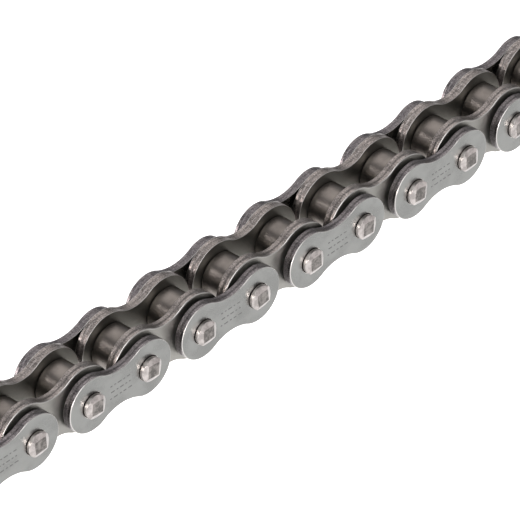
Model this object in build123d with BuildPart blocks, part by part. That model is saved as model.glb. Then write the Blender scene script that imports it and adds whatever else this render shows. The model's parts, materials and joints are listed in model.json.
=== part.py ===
"""Roller chain of 5/8 inch pitch and 1/4 inch inner width: a straight length of thirteen links.

Seven inner links and six outer links take turns along +X. An inner link is two inner plates pressed
onto two bushes, with a free roller on each bush between the plates. An outer link is two outer plates
pressed onto two pins, and each pin turns inside the bush of the next inner link. Both ends of the
length are inner links, so each end has an open bush for the pin of a joining link.

The chain stands on the edges of its plates: links along +X, pins along Y, plate height along Z. The
front plates are on the -Y side. The origin is the middle of the middle inner link, on the line of the
pins. Lengths are millimetres.
"""

from build123d import *
from math import hypot
import os

# the run of links
pitch = 15.875  # from one pin axis to the next
inner_link_count = 7

# rollers, bushes and pins
inner_width = 6.35  # clear width between the two inner plates
roller_diameter = 10.16
roller_end_clearance = 0.12  # between a roller's end and the inner plate
roller_bore_clearance = 0.08  # radial, between roller and bush
roller_edge_radius = 0.35
bush_wall = 1.03
bush_projection = 0.43  # how far a bush stands out of the inner plate
bush_chamfer = 0.2
bush_bore_clearance = 0.05  # radial, between bush and pin
pin_diameter = 5.24

# plates, which are blanked from strip
inner_plate_thickness = 2.2
inner_plate_gap = 1.1  # between two neighbouring inner plates
inner_plate_waist_depth = 2.3  # how far the waist is drawn in from the round ends, each side
outer_plate_thickness = 2.0
outer_plate_height = 12.7
outer_plate_waist_depth = 2.05
outer_plate_clearance = 0.25  # between a bush's end and the outer plate
plate_edge_radius = 0.15
pin_hole_chamfer = 0.25  # lead-in round each pin on the outer face

# pin heads, staked on four sides
head_projection = 1.45  # how far the head stands out of the outer plate
head_shoulder = 0.8  # height of its round part
head_swell = 0.1  # how far the round part swells beyond the pin
head_swell_height = 0.3  # where above the plate it has swelled fully
head_land = 2.9  # width of the square end left between the four staked sides
stake_foot_margin = 0.03  # how far the staked sides start outside the round part

# size mark: three rows of short stamped dashes on the outer face, each (start along X, length)
mark_rows = (
    ((-3.2, 0.6), (-2.2, 1.3), (-0.5, 0.7), (0.6, 0.9), (1.9, 1.2)),
    ((-2.9, 1.2), (-1.3, 0.6), (-0.3, 1.1), (1.2, 0.6), (2.2, 0.6)),
    ((-3.0, 0.7), (-1.9, 0.6), (-0.9, 1.2), (0.7, 0.6), (1.7, 1.0)),
)
mark_row_pitch = 1.5
mark_dash_height = 0.32
mark_depth = 0.06

# what follows from the sizes above
outer_link_count = inner_link_count - 1
axis_count = 2 * inner_link_count  # one bush and one roller on each axis
pin_radius = pin_diameter / 2
bush_bore_radius = pin_radius + bush_bore_clearance
bush_radius = bush_bore_radius + bush_wall
roller_bore_radius = bush_radius + roller_bore_clearance
roller_length = inner_width - 2 * roller_end_clearance
inner_plate_height = pitch - inner_plate_gap
inner_plate_inner_face = inner_width / 2
bush_length = inner_width + 2 * (inner_plate_thickness + bush_projection)
outer_plate_inner_face = bush_length / 2 + outer_plate_clearance
outer_plate_outer_face = outer_plate_inner_face + outer_plate_thickness
pin_half_length = outer_plate_outer_face + head_projection

FRONT, BACK = -1, 1  # the side of the chain that a plate is on, along Y


def side_plane(x, side, distance):
    """A plane across the pins, distance out from the chain's middle, its normal pointing outwards."""
    return Plane(origin=(x, side * distance, 0), x_dir=(1, 0, 0), z_dir=(0, side, 0))


def axis_x(number):
    """Where bush axis number 0, 1, 2 ... stands along the chain."""
    return (number - (axis_count - 1) / 2) * pitch


def link_plate(middle_x, side, inner_face, thickness, height, waist_depth, hole_radius, name):
    """A blanked plate: two round ends joined by tangent waist arcs, two holes, and broken edges."""
    end_radius = height / 2
    waist = end_radius - waist_depth
    half = pitch / 2
    waist_radius = (half**2 + waist**2 - end_radius**2) / (2 * waist_depth)
    waist_centre = waist + waist_radius
    share = end_radius / hypot(half, waist_centre)
    touch_x = half * (1 - share)
    touch_y = waist_centre * share
    with BuildPart() as plate:
        with BuildSketch(side_plane(middle_x, side, inner_face)):
            with BuildLine():
                for way in (1, -1):
                    ThreePointArc(
                        (way * touch_x, touch_y),
                        (way * (half + end_radius), 0),
                        (way * touch_x, -touch_y),
                    )
                    ThreePointArc(
                        (-touch_x, way * touch_y), (0, way * waist), (touch_x, way * touch_y)
                    )
            make_face()
            with GridLocations(pitch, 0, 2, 1):
                Circle(hole_radius, mode=Mode.SUBTRACT)
        extrude(amount=thickness)
        faces = plate.faces().filter_by(Axis.Y)
        fillet([edge for face in faces for edge in face.outer_wire().edges()], plate_edge_radius)
    plate.part.label = name
    return plate.part


def inner_plate(link, side, name):
    """An inner plate, pressed onto both bushes of its link."""
    middle_x = axis_x(2 * link) + pitch / 2
    return link_plate(
        middle_x,
        side,
        inner_plate_inner_face,
        inner_plate_thickness,
        inner_plate_height,
        inner_plate_waist_depth,
        bush_radius,
        name,
    )


def outer_plate(link, side, name):
    """An outer plate, pressed onto both pins, with lead-ins round them and the stamped size mark."""
    middle_x = axis_x(2 * link + 1) + pitch / 2
    blank = link_plate(
        middle_x,
        side,
        outer_plate_inner_face,
        outer_plate_thickness,
        outer_plate_height,
        outer_plate_waist_depth,
        pin_radius,
        name,
    )
    with BuildPart() as plate:
        add(blank)
        face = plate.faces().filter_by(Axis.Y).sort_by(Axis.Y)[0 if side == FRONT else -1]
        chamfer([edge for wire in face.inner_wires() for edge in wire.edges()], pin_hole_chamfer)
        with BuildSketch(side_plane(middle_x, side, outer_plate_outer_face)):
            for row, dashes in enumerate(mark_rows):
                across = (row - (len(mark_rows) - 1) / 2) * mark_row_pitch
                for start, length in dashes:
                    with Locations((start + length / 2, across)):
                        SlotOverall(length, mark_dash_height)
        extrude(amount=-mark_depth, mode=Mode.SUBTRACT)
    plate.part.label = name
    return plate.part


def bush_pair(link, name):
    """The two bushes of an inner link, as two separate solids."""
    with BuildPart() as bushes:
        for number in (2 * link, 2 * link + 1):
            with BuildSketch(side_plane(axis_x(number), BACK, 0)):
                Circle(bush_radius)
                Circle(bush_bore_radius, mode=Mode.SUBTRACT)
            extrude(amount=bush_length / 2, both=True)
        ends = bushes.faces().filter_by(Axis.Y)
        chamfer([edge for face in ends for edge in face.outer_wire().edges()], bush_chamfer)
    bushes.part.label = name
    return bushes.part


def roller(number, name):
    """A roller, free to turn on its bush."""
    with BuildPart() as tube:
        with BuildSketch(side_plane(axis_x(number), BACK, 0)):
            Circle(roller_diameter / 2)
            Circle(roller_bore_radius, mode=Mode.SUBTRACT)
        extrude(amount=roller_length / 2, both=True)
        ends = tube.faces().filter_by(Axis.Y)
        fillet([edge for face in ends for edge in face.outer_wire().edges()], roller_edge_radius)
    tube.part.label = name
    return tube.part


def staked_head(x, side):
    """A pin's end beyond the plate: a round part a little swelled, then four staked sides and a land."""
    head_radius = pin_radius + head_swell
    foot_width = 2 * (head_radius + stake_foot_margin)
    shoulder = outer_plate_outer_face + head_shoulder
    profile = Plane(origin=(x, side * outer_plate_outer_face, 0), x_dir=(1, 0, 0), z_dir=(0, 0, side))
    with BuildPart() as head:
        with BuildSketch(side_plane(x, side, shoulder)):
            Rectangle(foot_width, foot_width)
        with BuildSketch(side_plane(x, side, pin_half_length)):
            Rectangle(head_land, head_land)
        loft()
        with BuildSketch(side_plane(x, side, shoulder)):
            Circle(head_radius)
        extrude(amount=head_projection, mode=Mode.INTERSECT)
        with BuildSketch(profile):
            with BuildLine():
                Polyline(
                    (0, 0),
                    (pin_radius, 0),
                    (head_radius, head_swell_height),
                    (head_radius, head_shoulder),
                    (0, head_shoulder),
                    close=True,
                )
            make_face()
        revolve(axis=Axis((x, 0, 0), (0, 1, 0)))
    return head.part


def pin(number, name):
    """A pin with both ends staked over the outer plates."""
    x = axis_x(number)
    front_head = staked_head(x, FRONT)
    back_head = staked_head(x, BACK)
    with BuildPart() as body:
        with BuildSketch(side_plane(x, BACK, 0)):
            Circle(pin_radius)
        extrude(amount=outer_plate_outer_face, both=True)
        add(front_head)
        add(back_head)
    body.part.label = name
    return body.part


os.makedirs("parts", exist_ok=True)
pieces = []
for link in range(inner_link_count):
    owner = f"inner_link_{link + 1}"
    pieces.append(inner_plate(link, FRONT, f"{owner}_front_plate"))
    pieces.append(inner_plate(link, BACK, f"{owner}_back_plate"))
    pieces.append(bush_pair(link, f"{owner}_bushes"))
for number in range(axis_count):
    pieces.append(roller(number, f"roller_{number + 1:02d}"))
for link in range(outer_link_count):
    owner = f"outer_link_{link + 1}"
    pieces.append(outer_plate(link, FRONT, f"{owner}_front_plate"))
    pieces.append(outer_plate(link, BACK, f"{owner}_back_plate"))
for number in range(1, axis_count - 1):
    pieces.append(pin(number, f"pin_{number:02d}"))
for piece in pieces:
    export_step(piece, f"parts/{piece.label}.step")
print(len(pieces), "nodes written,", (axis_count - 1) * pitch, "mm between the end bushes")
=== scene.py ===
"""Finished surfaces, metals, light and camera for a straight length of roller chain.

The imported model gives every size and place. Each of its pieces is stood for by a finer surface: plates
with a blanked edge and stamped marks, pins with staked heads, rollers and bushes with eased ends.
Lengths are metres. The chain runs along X and its pins along Y. It hangs clear of the floor, so that it
can bend down.
"""

import json
from math import cos, pi, radians, sin

import bmesh
import bpy
import numpy as np
from mathutils import Matrix, Vector

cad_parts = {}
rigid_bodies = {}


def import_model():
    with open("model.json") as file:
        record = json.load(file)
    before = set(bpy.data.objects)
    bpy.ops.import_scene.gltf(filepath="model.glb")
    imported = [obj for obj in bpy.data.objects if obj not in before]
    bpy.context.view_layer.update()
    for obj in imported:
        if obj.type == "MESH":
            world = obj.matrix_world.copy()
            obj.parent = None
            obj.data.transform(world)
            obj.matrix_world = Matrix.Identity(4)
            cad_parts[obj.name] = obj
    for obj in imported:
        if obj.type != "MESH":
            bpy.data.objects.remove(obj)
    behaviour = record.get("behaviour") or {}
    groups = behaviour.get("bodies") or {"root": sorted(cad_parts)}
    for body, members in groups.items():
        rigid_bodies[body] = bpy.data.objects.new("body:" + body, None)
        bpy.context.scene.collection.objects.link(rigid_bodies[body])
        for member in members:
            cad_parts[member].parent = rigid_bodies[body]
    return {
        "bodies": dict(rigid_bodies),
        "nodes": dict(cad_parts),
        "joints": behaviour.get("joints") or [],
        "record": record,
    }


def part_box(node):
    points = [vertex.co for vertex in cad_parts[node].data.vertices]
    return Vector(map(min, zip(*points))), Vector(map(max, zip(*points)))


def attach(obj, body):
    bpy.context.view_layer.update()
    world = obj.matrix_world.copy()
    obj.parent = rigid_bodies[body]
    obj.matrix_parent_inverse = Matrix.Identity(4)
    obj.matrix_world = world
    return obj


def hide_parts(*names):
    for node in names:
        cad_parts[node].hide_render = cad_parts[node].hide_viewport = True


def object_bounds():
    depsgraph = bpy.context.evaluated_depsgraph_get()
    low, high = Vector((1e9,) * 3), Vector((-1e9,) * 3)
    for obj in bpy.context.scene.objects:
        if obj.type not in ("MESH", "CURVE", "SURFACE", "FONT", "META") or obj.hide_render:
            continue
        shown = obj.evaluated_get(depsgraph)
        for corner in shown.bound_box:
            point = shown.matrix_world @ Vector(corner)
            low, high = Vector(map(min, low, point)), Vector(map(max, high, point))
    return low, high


bl_info = {
    "name": "Roller Chain Finish",
    "version": (1, 0, 0),
    "blender": (4, 5, 0),
    "location": "3D View > Sidebar > Chain",
    "description": "Surfaces, metals and a studio for a length of roller chain",
    "category": "Object",
}

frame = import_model()
CAD_BOX = [list(corner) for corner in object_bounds()]

MM = 0.001
LINKS = sorted(name for name in frame["bodies"] if "link" in name)
HINGES = sorted(joint["pos_m"][0] for joint in frame["joints"] if "range_deg" in joint)
PITCH = HINGES[1] - HINGES[0]
BORE_RADIUS = frame["record"]["mounts"][0]["dims"]["r_mm"] * MM
FRONT, BACK = -1, 1


def node_size(name):
    """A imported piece's size along X, Y and Z."""
    low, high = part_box(name)
    return high - low


def node_middle_x(name):
    """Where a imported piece's middle is along the chain."""
    low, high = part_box(name)
    return (low.x + high.x) / 2


INNER_PLATE = node_size("inner_link_1_front_plate")
OUTER_PLATE = node_size("outer_link_1_front_plate")
BUSHES = node_size("inner_link_1_bushes")
ROLLER = node_size("roller_01")
PIN = node_size("pin_01")


# ---------------------------------------------------------------- settings


def length(name, description, default):
    """A length setting, shown in the scene's own units."""
    return bpy.props.FloatProperty(
        name=name, description=description, default=default, min=0.0, unit="LENGTH", precision=5
    )


def tint(name, description, default):
    """A colour setting."""
    return bpy.props.FloatVectorProperty(
        name=name, description=description, default=default, subtype="COLOR", size=3, min=0.0, max=1.0
    )


def share(name, description, default):
    """A setting between nothing and one."""
    return bpy.props.FloatProperty(
        name=name, description=description, default=default, min=0.0, max=1.0, subtype="FACTOR"
    )


def angle(name, description, degrees):
    """An angle setting, with its default in degrees."""
    return bpy.props.FloatProperty(
        name=name, description=description, default=radians(degrees), unit="ROTATION"
    )


class ChainShape(bpy.types.PropertyGroup):
    """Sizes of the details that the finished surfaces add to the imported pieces."""

    inner_waist_depth: length("Inner waist depth", "How far an inner plate's waist is drawn in", 2.3 * MM)
    outer_waist_depth: length("Outer waist depth", "How far an outer plate's waist is drawn in", 2.05 * MM)
    face_roll: length("Rolled edge", "Radius of a plate's edge on its outer face", 0.2 * MM)
    back_roll: length("Back edge", "Radius of a plate's edge on its inner face", 0.12 * MM)
    tear_step: length("Tear step", "How far the torn part of a blanked edge lies back", 0.003 * MM)
    pin_lead_in: length("Pin lead-in", "Width of the lead-in round each pin", 0.25 * MM)
    bush_lead_in: length("Bush lead-in", "Width of the lead-in round each bush", 0.06 * MM)
    hole_brim: length("Hole brim", "Width of the eased edge of a roller's or a bush's bore", 0.12 * MM)
    mark_depth: length("Mark depth", "Depth of the stamped dashes", 0.055 * MM)
    mark_height: length("Mark height", "Height of a stamped dash", 0.34 * MM)
    mark_rows: length("Mark spacing", "Distance between the rows of dashes", 1.5 * MM)
    pin_radius: length("Pin radius", "Radius of a pin inside its plates", 2.62 * MM)
    head_shoulder: length("Head shoulder", "Height of the round part of a pin's head", 0.8 * MM)
    head_projection: length("Head projection", "How far a pin's head stands out", 1.45 * MM)
    head_land: length("Head land", "Width of the square end of a pin", 2.9 * MM)
    head_turn: angle("Head turn", "The most that a pin's head is turned from square", 7.0)
    roller_ease: length("Roller edge", "Radius of a roller's edges", 0.35 * MM)
    roller_bore: length("Roller clearance", "Gap between a roller and its bush", 0.08 * MM)
    bush_ease: length("Bush edge", "Chamfer on a bush's ends", 0.2 * MM)


class ChainFinish(bpy.types.PropertyGroup):
    """Colours and gloss of the chain's metals."""

    outer_face: tint("Outer plate face", "Plated face of an outer plate", (0.2, 0.203, 0.197))
    inner_face: tint("Inner plate face", "Plated face of an inner plate", (0.245, 0.24, 0.224))
    outer_edge: tint("Outer plate edge", "Sheared and torn edge of an outer plate", (0.16, 0.147, 0.153))
    inner_edge: tint("Inner plate edge", "Sheared and torn edge of an inner plate", (0.245, 0.221, 0.212))
    # Painted highlight: a light colour on the plates' rolled corners in place of a highlight.
    corner_painted_highlight: tint("Corner painted highlight", "Painted highlight along the plates' rolled corners", (0.62, 0.60, 0.58))
    inside_face: tint("Inside face", "Own colour of a plate's side that looks inwards", (0.195, 0.188, 0.17))
    roller_steel: tint("Roller steel", "Hardened roller", (0.18, 0.162, 0.15))
    bush_steel: tint("Bush steel", "Hardened bush", (0.18, 0.165, 0.155))
    pin_steel: tint("Pin steel", "Land and shank of a pin", (0.162, 0.15, 0.142))
    struck_steel: tint("Struck steel", "Staked sides of a pin's head", (0.37, 0.343, 0.333))
    outer_roughness: share("Outer roughness", "How dull the outer plates' faces are", 0.30)
    inner_roughness: share("Inner roughness", "How dull the inner plates' faces are", 0.40)
    edge_roughness: share("Edge roughness", "How dull the blanked edges are", 0.33)
    roller_roughness: share("Roller roughness", "How dull the rollers are", 0.35)
    bush_roughness: share("Bush roughness", "How dull the bushes are", 0.30)
    pin_roughness: share("Pin roughness", "How dull the pins are", 0.30)


class ChainStudio(bpy.types.PropertyGroup):
    """The camera and the light."""

    azimuth: angle("Azimuth", "Camera direction round the chain", -46.24)
    elevation: angle("Elevation", "Camera height angle", 37.06)
    roll: angle("Roll", "Camera roll", -1.11)
    distance: length("Distance", "From the camera to the chain", 71.33 * PITCH)
    lens: bpy.props.FloatProperty(
        name="Lens", description="Focal length in millimetres", default=385.1, min=1.0
    )
    floor_size: length("Floor size", "Side of the pale floor", 6.0)
    floor_drop: length("Floor drop", "Room under the chain for it to bend down", 80.0 * MM)
    floor_tone: share("Floor tone", "How pale the floor is", 0.93)
    floor_glow: share("Floor glow", "Light that comes up through the floor, as on a light table", 0.62)
    sky: share("Sky", "Even light from all round", 0.3)


# ---------------------------------------------------------------- surfaces

# Points round one end of a plate, along its waist on each side of the middle columns, round a roller, round
# a bush, and along each side of a pin's square.
END_STEPS = 72
WAIST_STEPS = 8
ROLLER_STEPS = 144
BUSH_STEPS = 96
PIN_SIDE_STEPS = 28

# How far a plate's middle columns reach from its centre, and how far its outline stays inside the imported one.
MIDDLE_HALF = 3.55 * MM
OUTLINE_GAP = 0.002 * MM

# Where the stamped dashes start and how long they are, row by row, in millimetres from a plate's centre.
DASH_ROWS = (
    ((-3.2, 0.6), (-2.2, 1.3), (-0.5, 0.7), (0.6, 0.9), (1.9, 1.2)),
    ((-2.9, 1.2), (-1.3, 0.6), (-0.3, 1.1), (1.2, 0.6), (2.2, 0.6)),
    ((-3.0, 0.7), (-1.9, 0.6), (-0.9, 1.2), (0.7, 0.6), (1.7, 1.0)),
)
DASH_WALL = 0.1 * MM

# How deep the crease is where a pin's land meets its staked sides.
LAND_CREASE = 0.012 * MM

MERGE_DISTANCE = 1e-7
SHORTEST_EDGE = 1e-8


def grid_faces(count_u, count_v, first, loop_u=False, loop_v=False):
    """Quads of a grid of points numbered row by row from first; a looped side joins its last to its first."""
    rows = np.arange(count_u if loop_u else count_u - 1)
    cols = np.arange(count_v if loop_v else count_v - 1)
    u, v = np.meshgrid(rows, cols, indexing="ij")
    u_next = (u + 1) % count_u
    v_next = (v + 1) % count_v
    quads = np.stack(
        [u * count_v + v, u_next * count_v + v, u_next * count_v + v_next, u * count_v + v_next], axis=-1
    )
    return quads.reshape(-1, 4) + first


def surface(name, patches):
    """One closed mesh from patches of (points, loop_u, loop_v, rim, across); shared edges are merged.

    rim and across are numbers kept at each point. On a plate they say how far the point is out of the flat
    face and how far through the thickness. On a pin they mark the staked sides and the shoulder, which gets a
    painted reflection.
    """
    points, quads, rims, acrosses = [], [], [], []
    first = 0
    for grid, loop_u, loop_v, rim, across in patches:
        count_u, count_v = grid.shape[:2]
        points.append(grid.reshape(-1, 3))
        quads.append(grid_faces(count_u, count_v, first, loop_u, loop_v))
        rims.append(np.broadcast_to(rim, (count_u, count_v)).ravel())
        acrosses.append(np.broadcast_to(across, (count_u, count_v)).ravel())
        first += count_u * count_v
    mesh = bpy.data.meshes.new(name)
    mesh.from_pydata(np.concatenate(points).tolist(), [], np.concatenate(quads).tolist())
    for label, values in (("rim", rims), ("across", acrosses)):
        layer = mesh.attributes.new(label, "FLOAT", "POINT")
        layer.data.foreach_set("value", np.concatenate(values).astype(np.float32))
    shape = bmesh.new()
    shape.from_mesh(mesh)
    bmesh.ops.remove_doubles(shape, verts=shape.verts, dist=MERGE_DISTANCE)
    bmesh.ops.dissolve_degenerate(shape, edges=shape.edges, dist=SHORTEST_EDGE)
    bmesh.ops.recalc_face_normals(shape, faces=shape.faces)
    for face in shape.faces:
        face.smooth = True
    shape.to_mesh(mesh)
    shape.free()
    return mesh


def polar(radius, turn):
    """Points of a circle in the XZ plane."""
    return np.stack([radius * np.cos(turn), radius * np.sin(turn)], axis=-1)


def at_depth(flat, depth):
    """Lifts points of the XZ plane to the given place along Y."""
    depth = np.broadcast_to(depth, flat.shape[:-1])
    return np.stack([flat[..., 0], depth, flat[..., 1]], axis=-1)


def quarter(start, end, bulge, count):
    """A quarter round from start to end, both (out, depth), that turns its corner at bulge."""
    turn = np.linspace(0.0, pi / 2, count)[:, None]
    start, end, bulge = np.array(start), np.array(end), np.array(bulge)
    return bulge + (start - bulge) * (1 - np.sin(turn)) + (end - bulge) * (1 - np.cos(turn))


def revolve(profile, steps, middle_x=0.0):
    """Carries a closed profile of (radius, depth) round the Y axis at middle_x."""
    turn = np.linspace(0.0, 2 * pi, steps, endpoint=False)[:, None]
    ring = polar(profile[None, :, 0], turn)
    ring[..., 0] += middle_x
    return at_depth(ring, profile[None, :, 1])


def outline(height, waist_depth, middle_steps):
    """A plate's figure of eight as (point, outward normal) arrays, with the parts that its face needs.

    Each end is an arc of half the height round its hole. Each waist is an arc tangent to both ends. The
    arrays are the right end's and the top waist's. Half a turn makes the other two from them. The waist is
    split where its stretch of middle columns begins and ends.
    """
    half = PITCH / 2
    radius = height / 2 - OUTLINE_GAP
    waist = radius - waist_depth
    waist_radius = (half**2 + waist**2 - radius**2) / (2 * waist_depth)
    centre = waist + waist_radius
    reach = np.hypot(half, centre)
    end_angle = np.arctan2(centre, -half)
    touch = np.arcsin(half / reach)
    middle = np.arcsin(MIDDLE_HALF / waist_radius)
    end = np.linspace(-end_angle, end_angle, END_STEPS)
    end_normal = polar(1.0, end)
    end_point = end_normal * radius + [half, 0.0]
    swing = np.concatenate(
        [
            np.linspace(touch, middle, WAIST_STEPS, endpoint=False),
            np.linspace(middle, -middle, middle_steps, endpoint=False),
            np.linspace(-middle, -touch, WAIST_STEPS + 1),
        ]
    )
    top_normal = np.stack([-np.sin(swing), np.cos(swing)], axis=-1)
    top_point = np.array([0.0, centre]) - top_normal * waist_radius
    return {"end": (end_point, end_normal), "top": (top_point, top_normal), "middle_steps": middle_steps}


def face_grids(shape, inset, hole, marks, rows, rings):
    """The flat face inside the rim: its middle, the ring round its right hole, and how low the middle lies.

    The middle's columns stand on the bottom waist and end on the top waist. The ring's lines run straight
    from the hole to the rim or to the middle's side. marks lowers the middle where dashes are stamped.
    """
    end_point, end_normal = shape["end"]
    top_point, top_normal = shape["top"]
    end = end_point - end_normal * inset
    top = top_point - top_normal * inset
    last = WAIST_STEPS + shape["middle_steps"]
    upper = top[WAIST_STEPS : last + 1]
    middle = np.stack([np.broadcast_to(upper[:, :1], (len(upper), len(rows))), upper[:, 1:] * rows], axis=-1)
    side = middle[0]
    waist = top[: WAIST_STEPS + 1]
    mirror = np.array([1.0, -1.0])
    loop = np.concatenate([end[:-1], waist[:-1], side[::-1][:-1], (waist * mirror)[::-1][:-1]])
    centre = np.array([PITCH / 2, 0.0])
    away = loop - centre
    start = centre + away / np.linalg.norm(away, axis=1, keepdims=True) * hole
    ring = start[:, None, :] + (loop - start)[:, None, :] * rings[None, :, None]
    return middle, ring, marks(middle[..., 0], middle[..., 1])


def plate_rim(thickness, face_roll, back_roll, step):
    """A blanked edge's profile as (out, depth): rolled over, sheared smooth, torn back, and rolled again.

    A line of points stands close behind each roll, so that the band between them shades flat.
    """
    torn = 0.46 * thickness
    front = quarter((-face_roll, 0.0), (0.0, face_roll), (0.0, 0.0), 6)
    band = np.array([[0.0, face_roll * 1.2], [0.0, 0.3 * thickness], [0.0, torn], [-step, torn + step],
                     [-step, 0.7 * thickness], [-step, thickness - back_roll * 1.2]])
    rear = quarter((-step, thickness - back_roll), (-step - back_roll, thickness), (-step, thickness), 5)
    return np.concatenate([front, band, rear])


def hole_profile(radius, thickness, lead_in):
    """A hole's wall as (radius, depth), with a conical lead-in on the outer face."""
    return np.array([[radius + lead_in, 0.0], [radius + lead_in * 0.5, lead_in * 0.5], [radius, lead_in],
                     [radius, thickness / 2], [radius, thickness]])


def dash_field(chain):
    """Returns depth(x, z) for three rows of stamped dashes: each dash is a capsule with a soft wall."""
    radius = chain.mark_height / 2

    def depth(x, z):
        cut = np.zeros_like(x)
        for row, dashes in enumerate(DASH_ROWS):
            level = (row - 1) * chain.mark_rows
            for start, reach in dashes:
                left = start * MM + radius
                right = (start + reach) * MM - radius
                away = np.hypot(x - np.clip(x, left, right), z - level)
                lip = np.clip((radius - away) / DASH_WALL, 0.0, 1.0)
                cut = np.maximum(cut, lip * lip * (3 - 2 * lip))
        return cut * chain.mark_depth

    return depth


def unmarked(x, z):
    """The depth of a plain face: nothing anywhere."""
    return np.zeros_like(x)


def plate_mesh(name, size, waist_depth, hole, lead_in, marks):
    """A blanked plate lying from y = 0, its outer face, to y = thickness, centred on its waist.

    marks gives how deep the stamped dashes are at x and z, or is None on a plain plate. A stamped plate's
    middle has more columns and rows, so that the dashes keep their shape.
    """
    chain = bpy.context.scene.chain_shape
    middle_steps, middle_rows = (64, 34) if marks else (24, 10)
    shape = outline(size.z, waist_depth, middle_steps)
    inner_rows = np.linspace(-0.5, 0.5, middle_rows)
    outer_rows = np.array([0.66, 0.85, 0.99, 1.0])
    rows = np.concatenate([-outer_rows[::-1], inner_rows, outer_rows])
    rings = np.array([0.0, 0.02, 0.1, 0.25, 0.45, 0.65, 0.85, 0.97, 1.0])
    rim = plate_rim(size.y, chain.face_roll, chain.back_roll, chain.tear_step)
    wall = hole_profile(hole, size.y, lead_in)
    patches = []
    outer_side = (0.0, -rim[0, 0], wall[0, 0], marks)
    inner_side = (size.y, -rim[-1, 0], hole, None)
    for depth, inset, hole_edge, cut in (outer_side, inner_side):
        middle, ring, lowered = face_grids(shape, inset, hole_edge, cut or unmarked, rows, rings)
        across = depth / size.y
        patches.append((at_depth(middle, depth + lowered), False, False, 0.0, across + lowered / size.y))
        for way in (1.0, -1.0):
            patches.append((at_depth(ring * [way, 1.0], depth), True, False, 0.0, across))
    end_point, end_normal = shape["end"]
    top_point, top_normal = shape["top"]
    path = np.concatenate([end_point[:-1], top_point[:-1], -end_point[:-1], -top_point[:-1]])
    normal = np.concatenate([end_normal[:-1], top_normal[:-1], -end_normal[:-1], -top_normal[:-1]])
    edge = path[:, None, :] + normal[:, None, :] * rim[None, :, :1]
    out = np.clip((rim[:, 0] - rim[0, 0]) / chain.face_roll, 0.0, 1.0)
    out[-1] = 0.0
    patches.append((at_depth(edge, rim[None, :, 1]), True, False, out, rim[:, 1] / size.y))
    _, ring, _ = face_grids(shape, -rim[0, 0], 1.0, unmarked, rows, rings)
    ray = ring[:, 0] - [PITCH / 2, 0.0]
    for way in (1.0, -1.0):
        sides = (ray[:, None, :] * wall[None, :, :1] + [PITCH / 2, 0.0]) * [way, 1.0]
        patches.append((at_depth(sides, wall[None, :, 1]), True, False, 1.0, wall[:, 1] / size.y))
    return surface(name, patches)


def roller_mesh(chain):
    """A roller's tube: a closed profile with rounded outer edges and eased bore edges, carried round Y."""
    outer = ROLLER.x / 2
    bore = BUSHES.z / 2 + chain.roller_bore
    half = ROLLER.y / 2
    ease = chain.roller_ease
    brim = chain.hole_brim
    top = quarter((outer - ease, half), (outer, half - ease), (outer, half), 7)
    side = np.array([[outer, half * k] for k in (0.85, 0.5, 0.0, -0.5, -0.85)])
    low = top[::-1] * [1, -1]
    inside = np.array([
        [bore + brim, -half], [bore, brim - half], [bore, 0.0], [bore, half - brim], [bore + brim, half],
    ])
    profile = np.concatenate([top, side, low, inside])
    return surface("roller", [(revolve(profile, ROLLER_STEPS), True, True, 0.0, 0.0)])


def bush_pair_mesh(chain):
    """Two bushes a pitch apart: tubes with chamfered ends."""
    outer = BUSHES.z / 2
    half = BUSHES.y / 2
    ease = chain.bush_ease
    foot = half - 1.3 * ease
    corner = outer - 0.2 * ease
    bore, brim = BORE_RADIUS, chain.hole_brim
    profile = np.array([
        [bore + brim, half], [outer - ease, half], [corner, half - ease], [outer, foot], [outer, 0.0],
        [outer, -foot], [corner, ease - half], [outer - ease, -half], [bore + brim, -half],
        [bore, brim - half], [bore, 0.0], [bore, half - brim],
    ])
    tubes = [(revolve(profile, BUSH_STEPS, way * PITCH / 2), True, True, 0.0, 0.0) for way in (-1, 1)]
    return surface("bushes", tubes)


def pin_mesh(chain):
    """A pin as one surface from end to end: a square land, four staked sides, a round shoulder, a shank.

    A ring of points follows a square on the land and a circle on the shank. On a staked side the depth
    falls with the distance from the land's edge, so each side is one plane. Each ring is kept with its
    depth and with how far it is struck.
    """
    turn = np.linspace(0.0, 2 * pi, 4 * PIN_SIDE_STEPS, endpoint=False) + pi / 4
    circle = polar(1.0, turn)
    square = circle / np.abs(circle).max(axis=1, keepdims=True)
    land = chain.head_land / 2
    head_radius = PIN.x / 2
    tip = PIN.y / 2
    plate = tip - chain.head_projection
    fall = (chain.head_projection - chain.head_shoulder) / (head_radius - land)
    rim = circle * head_radius
    rim_depth = tip - (np.abs(rim).max(axis=1) - land) * fall
    rings = [(square * land * part, tip, 0.0) for part in (0.0, 0.4, 0.75, 0.93)]
    for part in (0.0, 0.06, 0.14, 0.4, 0.7, 0.9, 0.96):
        ring = square * land * (1 - part) + rim * part
        reach = np.maximum(np.abs(ring).max(axis=1) - land, 0.0)
        crease = LAND_CREASE if part == 0.0 else 0.0
        rings.append((ring, tip - reach * fall - crease, min(part / 0.14, 1.0)))
    rings.append((rim * 0.997, rim_depth, 1.0))
    for drop in (0.03 * MM, 0.1 * MM):
        rings.append((rim, np.minimum(rim_depth - drop, tip), 1.0))
    rings.append((rim, plate + 0.3 * MM, 0.8))
    rings.append((circle * (chain.pin_radius + 0.02 * MM), plate + 0.04 * MM, 0.0))
    for depth in (plate, plate * 0.7, 0.0):
        rings.append((circle * chain.pin_radius, depth, 0.0))
    front = np.stack([at_depth(ring, -depth) for ring, depth, struck in rings])
    back = (front * [1.0, -1.0, 1.0])[::-1][1:]
    whole = np.concatenate([front, back])
    marks = [struck for ring, depth, struck in rings]
    marks = np.array(marks + marks[::-1][1:])[:, None]
    outside = np.hypot(whole[..., 0], whole[..., 2]) > head_radius * 0.999
    # The shoulder's points are kept for a painted reflection: the material colours them much lighter.
    shoulder = (marks > 0.0) & (np.abs(whole[..., 1]) < tip) & outside
    return surface("pin", [(whole, False, True, marks, shoulder.astype(float))])


# ---------------------------------------------------------------- metals


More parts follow.
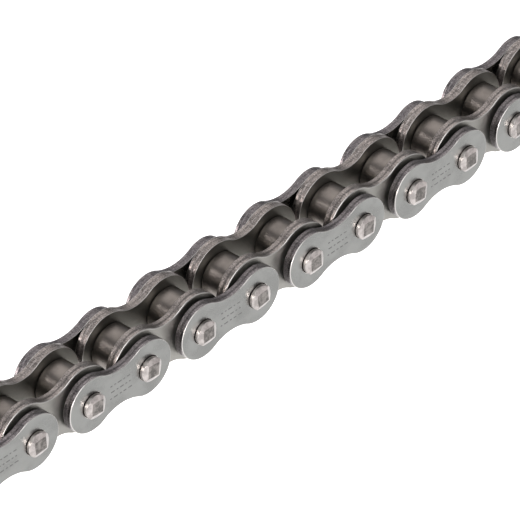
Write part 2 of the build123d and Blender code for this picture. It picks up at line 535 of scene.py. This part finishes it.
class Weave:
    """A short way to write a material's nodes: each call adds a node and returns its output."""

    def __init__(self, name):
        self.material = bpy.data.materials.new(name)
        self.material.use_nodes = True
        self.tree = self.material.node_tree
        self.shader = self.tree.nodes["Principled BSDF"]
        self.place = self.add("ShaderNodeTexCoord").outputs["Object"]

    def add(self, kind, inputs=(), **settings):
        """A node with its settings and inputs, each input a value or another node's output."""
        node = self.tree.nodes.new(kind)
        for key, value in settings.items():
            setattr(node, key, value)
        for key, value in dict(inputs).items():
            if isinstance(value, bpy.types.NodeSocket):
                self.tree.links.new(value, node.inputs[key])
            else:
                node.inputs[key].default_value = value
        return node

    def noise(self, per_mm, detail=2.0, roughness=0.5):
        """Noise with its own grain count per millimetre along X, Y and Z."""
        stretch = [count / MM for count in per_mm]
        where = self.add("ShaderNodeVectorMath", {0: self.place, 1: stretch}, operation="MULTIPLY")
        made = self.add(
            "ShaderNodeTexNoise",
            {"Vector": where.outputs[0], "Scale": 1.0, "Detail": detail, "Roughness": roughness},
        )
        return made.outputs["Fac"]

    def ramp(self, value, low, high):
        """Maps the stretch from low to high onto nothing to one, smoothly."""
        made = self.add(
            "ShaderNodeMapRange",
            {"Value": value, "From Min": low, "From Max": high},
            interpolation_type="SMOOTHSTEP",
        )
        return made.outputs["Result"]

    def level(self, value, low, high):
        """Maps nothing to one onto the stretch from low to high."""
        made = self.add("ShaderNodeMapRange", {"Value": value, "To Min": low, "To Max": high})
        return made.outputs["Result"]

    def blend(self, factor, first, second):
        """A colour between two colours."""
        node = self.add("ShaderNodeMix", data_type="RGBA")
        for index, value in ((0, factor), (6, first), (7, second)):
            if isinstance(value, bpy.types.NodeSocket):
                self.tree.links.new(value, node.inputs[index])
            else:
                node.inputs[index].default_value = value
        return node.outputs[2]

    def math(self, operation, first, second):
        """One sum on two numbers."""
        return self.add("ShaderNodeMath", {0: first, 1: second}, operation=operation).outputs[0]

    def between(self, factor, first, second):
        """A number between two numbers: the first one where factor is nothing, the second where it is one."""
        rest = self.math("SUBTRACT", 1.0, factor)
        return self.math("ADD", self.math("MULTIPLY", first, rest), self.math("MULTIPLY", second, factor))

    def attribute(self, name):
        """A number kept at the surface's points."""
        return self.add("ShaderNodeAttribute", attribute_name=name).outputs["Fac"]

    def bump(self, height, strength, distance, under=None):
        """Lifts the surface's shading by height."""
        inputs = {"Height": height, "Strength": strength, "Distance": distance}
        if under is not None:
            inputs["Normal"] = under
        return self.add("ShaderNodeBump", inputs).outputs["Normal"]

    def finish(self, color, roughness, normal):
        """Feeds the metal's shader and returns the material."""
        self.shader.inputs["Metallic"].default_value = 1.0
        self.tree.links.new(color, self.shader.inputs["Base Color"])
        self.tree.links.new(roughness, self.shader.inputs["Roughness"])
        self.tree.links.new(normal, self.shader.inputs["Normal"])
        return self.material


def shade(color, factor):
    """A colour made lighter or darker, with full alpha."""
    return (*[min(1.0, part * factor) for part in color], 1.0)


def plate_metal(name, face, edge, roughness):
    """Plated steel: a satin face with faint cloudy stains and tumbling scratches, and a blanked edge.

    The inside face has its own colour. The edge has a painted highlight on its rolled corners, streaks that
    run through its thickness and a duller torn part. The floors of the stamped dashes are the lowered places
    of the outer face, and are coloured darker.
    """
    finish = bpy.context.scene.chain_finish
    weave = Weave(name)
    cloud = weave.noise((0.16, 0.3, 0.22), detail=3.0)
    grain = weave.noise((5.0, 5.0, 5.0), detail=3.0, roughness=0.6)
    scratch = weave.noise((0.5, 3.0, 9.0), detail=2.0)
    streak = weave.noise((4.5, 0.3, 4.5), detail=3.0, roughness=0.6)
    speck = weave.noise((4.5, 3.0, 4.5), detail=3.0)
    rim = weave.attribute("rim")
    flat_color = weave.blend(weave.ramp(cloud, 0.32, 0.68), shade(face, 0.87), shade(face, 1.09))
    across = weave.attribute("across")
    # The side that looks inwards gets its own colour.
    flat_color = weave.blend(weave.ramp(across, 0.9, 0.95), flat_color, shade(finish.inside_face, 1.0))
    # The floors of the stamped dashes are coloured darker.
    stamped = weave.math("MULTIPLY", weave.ramp(across, 0.002, 0.02), weave.ramp(across, 0.6, 0.4))
    flat_color = weave.blend(stamped, flat_color, shade(face, 0.5))
    edge_color = weave.blend(weave.ramp(streak, 0.32, 0.68), shade(edge, 0.72), shade(edge, 1.25))
    edge_color = weave.blend(weave.ramp(speck, 0.55, 0.68), edge_color, shade(edge, 1.8))
    edge_color = weave.blend(weave.ramp(speck, 0.45, 0.34), edge_color, shade(edge, 0.5))
    # Painted highlight: the rolled corners on both faces get a light colour in place of the highlight that a
    # strong light gives them.
    corner = weave.math("ADD", weave.ramp(across, 0.1, 0.05), weave.ramp(across, 0.95, 0.98))
    edge_color = weave.blend(corner, edge_color, shade(finish.corner_painted_highlight, 1.0))
    color = weave.blend(rim, flat_color, edge_color)
    torn = weave.ramp(across, 0.38, 0.52)
    flat_rough = weave.level(weave.math("ADD", cloud, weave.math("MULTIPLY", grain, 0.5)), 0.0, 0.4)
    # The cloud and the grain make 0.3 on average by themselves.
    flat_rough = weave.math("ADD", flat_rough, roughness - 0.3)
    edge_rough = weave.level(torn, finish.edge_roughness - 0.03, finish.edge_roughness + 0.05)
    edge_rough = weave.math("ADD", edge_rough, weave.math("MULTIPLY", streak, 0.1))
    flat_lift = weave.math("ADD", weave.math("MULTIPLY", grain, 0.5), weave.math("MULTIPLY", scratch, 0.3))
    edge_lift = weave.math("MULTIPLY", streak, weave.math("ADD", weave.math("MULTIPLY", torn, 1.5), 1.5))
    rough = weave.between(rim, flat_rough, edge_rough)
    lift = weave.between(rim, flat_lift, edge_lift)
    return weave.finish(color, rough, weave.bump(lift, 0.5, 0.012 * MM))


def turned_metal(name, steel, roughness, per_mm):
    """Hardened steel: soft cloudy colour and fine lines round the axis, as turning and tumbling leave."""
    weave = Weave(name)
    cloud = weave.noise((0.3, 0.3, 0.3), detail=3.0)
    lines = weave.noise(per_mm, detail=2.0)
    grain = weave.noise((6.0, 6.0, 6.0), detail=3.0, roughness=0.6)
    color = weave.blend(weave.ramp(cloud, 0.3, 0.7), shade(steel, 0.82), shade(steel, 1.15))
    rough = weave.level(lines, roughness - 0.05, roughness + 0.05)
    rough = weave.math("ADD", weave.level(grain, -0.05, 0.05), rough)
    lift = weave.math("ADD", lines, weave.math("MULTIPLY", grain, 0.6))
    return weave.finish(color, rough, weave.bump(lift, 0.4, 0.01 * MM))


def staked_metal(name, steel, struck_steel, roughness):
    """Pin steel: a blotchy brown-grey end, brighter staked sides, and a painted reflection on the shoulder."""
    weave = Weave(name)
    struck = weave.attribute("rim")
    blotch = weave.noise((0.9, 0.9, 0.9), detail=3.0, roughness=0.6)
    grain = weave.noise((5.0, 5.0, 5.0), detail=3.0, roughness=0.6)
    patches = weave.ramp(blotch, 0.35, 0.65)
    end_color = weave.blend(patches, shade(steel, 0.5), shade(steel, 1.2))
    side_color = weave.blend(patches, shade(struck_steel, 0.72), shade(struck_steel, 1.12))
    color = weave.blend(struck, end_color, side_color)
    # Painted reflection: the shoulder round each head is coloured much lighter, as if it mirrored bright
    # surroundings.
    color = weave.blend(weave.attribute("across"), color, shade(struck_steel, 1.8))
    rough = weave.level(grain, roughness - 0.08, roughness + 0.08)
    lift = weave.math("ADD", grain, weave.math("MULTIPLY", blotch, 1.5))
    return weave.finish(color, rough, weave.bump(lift, 0.5, 0.015 * MM))


# ---------------------------------------------------------------- pieces


def place(mesh, middle_x, name, node, body, material):
    """Stands a copy of mesh at middle_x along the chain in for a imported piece, on the same body."""
    copy = mesh.copy()
    copy.name = name
    copy.transform(Matrix.Translation((middle_x, 0.0, 0.0)))
    copy.materials.clear()
    copy.materials.append(material)
    piece = bpy.data.objects.new(name, copy)
    bpy.context.scene.collection.objects.link(piece)
    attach(piece, body)
    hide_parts(node)


def plate_on_side(mesh, side, distance):
    """A copy of a plate's mesh with its outer face at distance from the middle, on the given side.

    The plate is turned over on the back side: half a turn about Z.
    """
    copy = mesh.copy()
    if side == BACK:
        copy.transform(Matrix.Rotation(pi, 4, "Z"))
    copy.transform(Matrix.Translation((0.0, side * distance, 0.0)))
    return copy


def add_plates(kind, mesh, material):
    """Places every front and back plate of the inner or the outer links."""
    for body in (name for name in LINKS if name.startswith(kind)):
        for side, label in ((FRONT, "front"), (BACK, "back")):
            node = f"{body}_{label}_plate"
            low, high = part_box(node)
            distance = -low.y if side == FRONT else high.y
            turned = plate_on_side(mesh, side, distance)
            place(turned, node_middle_x(node), f"{node}_blanked", node, body, material)
            bpy.data.meshes.remove(turned)


class CHAIN_OT_inner_plates(bpy.types.Operator):
    """Make the inner links' plates"""

    bl_idname = "chain.inner_plates"
    bl_label = "Inner plates"

    def execute(self, context):
        chain = context.scene.chain_shape
        finish = context.scene.chain_finish
        material = plate_metal(
            "inner_plate_nickel", finish.inner_face, finish.inner_edge, finish.inner_roughness
        )
        mesh = plate_mesh(
            "inner_plate", INNER_PLATE, chain.inner_waist_depth, BUSHES.z / 2, chain.bush_lead_in, None
        )
        add_plates("inner", mesh, material)
        bpy.data.meshes.remove(mesh)
        return {"FINISHED"}


class CHAIN_OT_outer_plates(bpy.types.Operator):
    """Make the outer links' plates, with their stamped dashes"""

    bl_idname = "chain.outer_plates"
    bl_label = "Outer plates"

    def execute(self, context):
        chain = context.scene.chain_shape
        finish = context.scene.chain_finish
        material = plate_metal(
            "outer_plate_nickel", finish.outer_face, finish.outer_edge, finish.outer_roughness
        )
        marks = dash_field(chain)
        mesh = plate_mesh(
            "outer_plate", OUTER_PLATE, chain.outer_waist_depth, chain.pin_radius, chain.pin_lead_in, marks
        )
        add_plates("outer", mesh, material)
        bpy.data.meshes.remove(mesh)
        return {"FINISHED"}


class CHAIN_OT_bushes(bpy.types.Operator):
    """Make each inner link's pair of bushes"""

    bl_idname = "chain.bushes"
    bl_label = "Bushes"

    def execute(self, context):
        finish = context.scene.chain_finish
        material = turned_metal("bush_steel", finish.bush_steel, finish.bush_roughness, (0.6, 6.0, 0.6))
        mesh = bush_pair_mesh(context.scene.chain_shape)
        for body in (name for name in LINKS if name.startswith("inner")):
            node = f"{body}_bushes"
            place(mesh, node_middle_x(node), f"{node}_turned", node, body, material)
        bpy.data.meshes.remove(mesh)
        return {"FINISHED"}


class CHAIN_OT_rollers(bpy.types.Operator):
    """Make the free rollers"""

    bl_idname = "chain.rollers"
    bl_label = "Rollers"

    def execute(self, context):
        finish = context.scene.chain_finish
        material = turned_metal("roller_steel", finish.roller_steel, finish.roller_roughness, (0.5, 7.0, 0.5))
        mesh = roller_mesh(context.scene.chain_shape)
        for node in (name for name in frame["nodes"] if name.startswith("roller")):
            place(mesh, node_middle_x(node), f"{node}_turned", node, node, material)
        bpy.data.meshes.remove(mesh)
        return {"FINISHED"}


class CHAIN_OT_pins(bpy.types.Operator):
    """Make the pins with their staked heads"""

    bl_idname = "chain.pins"
    bl_label = "Pins"

    def execute(self, context):
        chain = context.scene.chain_shape
        finish = context.scene.chain_finish
        material = staked_metal("pin_steel", finish.pin_steel, finish.struck_steel, finish.pin_roughness)
        mesh = pin_mesh(chain)
        bodies = frame["record"]["behaviour"]["bodies"]
        for body in (name for name in LINKS if name.startswith("outer")):
            for node in (name for name in bodies[body] if name.startswith("pin")):
                # Five radians from pin to pin spreads the turns with no clear pattern.
                turn = chain.head_turn * sin(5.0 * int(node[-2:]))
                turned = mesh.copy()
                turned.transform(Matrix.Rotation(turn, 4, "Y"))
                place(turned, node_middle_x(node), f"{node}_staked", node, body, material)
                bpy.data.meshes.remove(turned)
        bpy.data.meshes.remove(mesh)
        return {"FINISHED"}


# ---------------------------------------------------------------- studio

# Each light's name, power in watts, width and height, place and colour. All of them face the chain's middle.
LIGHTS = (
    ("key", 56.0, (2.4, 2.4), (-1.1, -1.3, 2.2), (1.0, 1.0, 1.0)),
    ("top_panel", 12.0, (2.1, 1.4), (0.6, 0.95, 1.5), (1.0, 0.96, 0.93)),
    ("back_spot", 8.0, (0.5, 0.26), (-1.29, 0.87, 0.29), (1.0, 0.92, 0.89)),
    ("roller_spot", 1.4, (0.2, 0.2), (-1.05, 0.94, 0.97), (1.0, 0.95, 0.92)),
    ("left_wall", 28.0, (0.8, 0.36), (-1.5, -1.02, 0.32), (1.0, 0.95, 0.93)),
    ("right_wall", 2.0, (1.3, 0.4), (0.95, -1.4, 0.24), (1.0, 0.95, 0.94)),
)
SKY_COLOR = (0.97, 0.98, 1.0, 1.0)
CAMERA_AIM = Vector((0.0752 * PITCH, 0.0, -0.0128 * PITCH))
SENSOR_WIDTH = 36.0
NEAREST, FARTHEST = 0.05, 20.0


def add_floor(scene, studio):
    """A pale square under the chain that glows a little."""
    half = studio.floor_size / 2
    level = CAD_BOX[0][2] - studio.floor_drop
    corners = [(-half, -half, level), (half, -half, level), (half, half, level), (-half, half, level)]
    mesh = bpy.data.meshes.new("floor")
    mesh.from_pydata(corners, [], [(0, 1, 2, 3)])
    floor = bpy.data.objects.new("floor", mesh)
    scene.collection.objects.link(floor)
    paper = bpy.data.materials.new("white_paper")
    paper.use_nodes = True
    shader = paper.node_tree.nodes["Principled BSDF"]
    shader.inputs["Base Color"].default_value = (*[studio.floor_tone] * 3, 1.0)
    shader.inputs["Roughness"].default_value = 0.9
    shader.inputs["Emission Color"].default_value = (1.0, 1.0, 1.0, 1.0)
    shader.inputs["Emission Strength"].default_value = studio.floor_glow
    mesh.materials.append(paper)


def add_sky(scene, studio):
    """Even light from all round."""
    world = bpy.data.worlds.new("studio")
    world.use_nodes = True
    sky = world.node_tree.nodes["Background"]
    sky.inputs["Color"].default_value = SKY_COLOR
    sky.inputs["Strength"].default_value = studio.sky
    scene.world = world


def add_light(scene, name, power, size, position, color):
    """A rectangular area light at position that faces the chain's middle."""
    light = bpy.data.lights.new(name, "AREA")
    light.shape = "RECTANGLE"
    light.size, light.size_y = size
    light.energy = power
    light.color = color
    lamp = bpy.data.objects.new(name, light)
    lamp.location = position
    lamp.rotation_euler = (-Vector(position)).to_track_quat("-Z", "Y").to_euler()
    scene.collection.objects.link(lamp)


def add_camera(scene, studio):
    """A long lens that looks down on the chain, turned by the azimuth, the elevation and the roll."""
    camera = bpy.data.objects.new("camera", bpy.data.cameras.new("camera"))
    scene.collection.objects.link(camera)
    azimuth, elevation = studio.azimuth, studio.elevation
    away = cos(elevation)
    back = Vector((sin(azimuth) * away, -cos(azimuth) * away, sin(elevation)))
    right = Vector((cos(azimuth), sin(azimuth), 0.0))
    up = back.cross(right)
    rolled_right = right * cos(studio.roll) + up * sin(studio.roll)
    rolled_up = up * cos(studio.roll) - right * sin(studio.roll)
    turn = Matrix((rolled_right, rolled_up, back)).transposed().to_4x4()
    camera.matrix_world = Matrix.Translation(CAMERA_AIM + back * studio.distance) @ turn
    camera.data.sensor_width = SENSOR_WIDTH
    camera.data.lens = studio.lens
    camera.data.clip_start = NEAREST
    camera.data.clip_end = FARTHEST
    scene.camera = camera


class CHAIN_OT_studio(bpy.types.Operator):
    """Add the pale floor, the soft lights and the camera"""

    bl_idname = "chain.studio"
    bl_label = "Studio"

    def execute(self, context):
        scene = context.scene
        studio = scene.chain_studio
        add_floor(scene, studio)
        add_sky(scene, studio)
        scene.view_settings.view_transform = "Standard"
        for light in LIGHTS:
            add_light(scene, *light)
        add_camera(scene, studio)
        return {"FINISHED"}


class CHAIN_PT_panel(bpy.types.Panel):
    """The chain's operators and settings"""

    bl_label = "Roller chain"
    bl_idname = "CHAIN_PT_panel"
    bl_space_type = "VIEW_3D"
    bl_region_type = "UI"
    bl_category = "Chain"

    def draw(self, context):
        for operator in OPERATORS:
            self.layout.operator(operator.bl_idname)
        for group in ("chain_shape", "chain_finish", "chain_studio"):
            settings = getattr(context.scene, group)
            for key in settings.__annotations__:
                self.layout.prop(settings, key)


OPERATORS = (
    CHAIN_OT_inner_plates,
    CHAIN_OT_outer_plates,
    CHAIN_OT_bushes,
    CHAIN_OT_rollers,
    CHAIN_OT_pins,
    CHAIN_OT_studio,
)
GROUPS = {"chain_shape": ChainShape, "chain_finish": ChainFinish, "chain_studio": ChainStudio}


def register():
    """Registers every class and hangs the settings on the scene."""
    for item in (*GROUPS.values(), *OPERATORS, CHAIN_PT_panel):
        bpy.utils.register_class(item)
    for key, group in GROUPS.items():
        setattr(bpy.types.Scene, key, bpy.props.PointerProperty(type=group))


def unregister():
    """Takes the settings and the classes away again."""
    for key in GROUPS:
        delattr(bpy.types.Scene, key)
    for item in reversed((*GROUPS.values(), *OPERATORS, CHAIN_PT_panel)):
        bpy.utils.unregister_class(item)


def main():
    """Makes everything in order."""
    register()
    bpy.ops.chain.inner_plates()
    bpy.ops.chain.outer_plates()
    bpy.ops.chain.bushes()
    bpy.ops.chain.rollers()
    bpy.ops.chain.pins()
    bpy.ops.chain.studio()


if __name__ == "__main__":
    main()
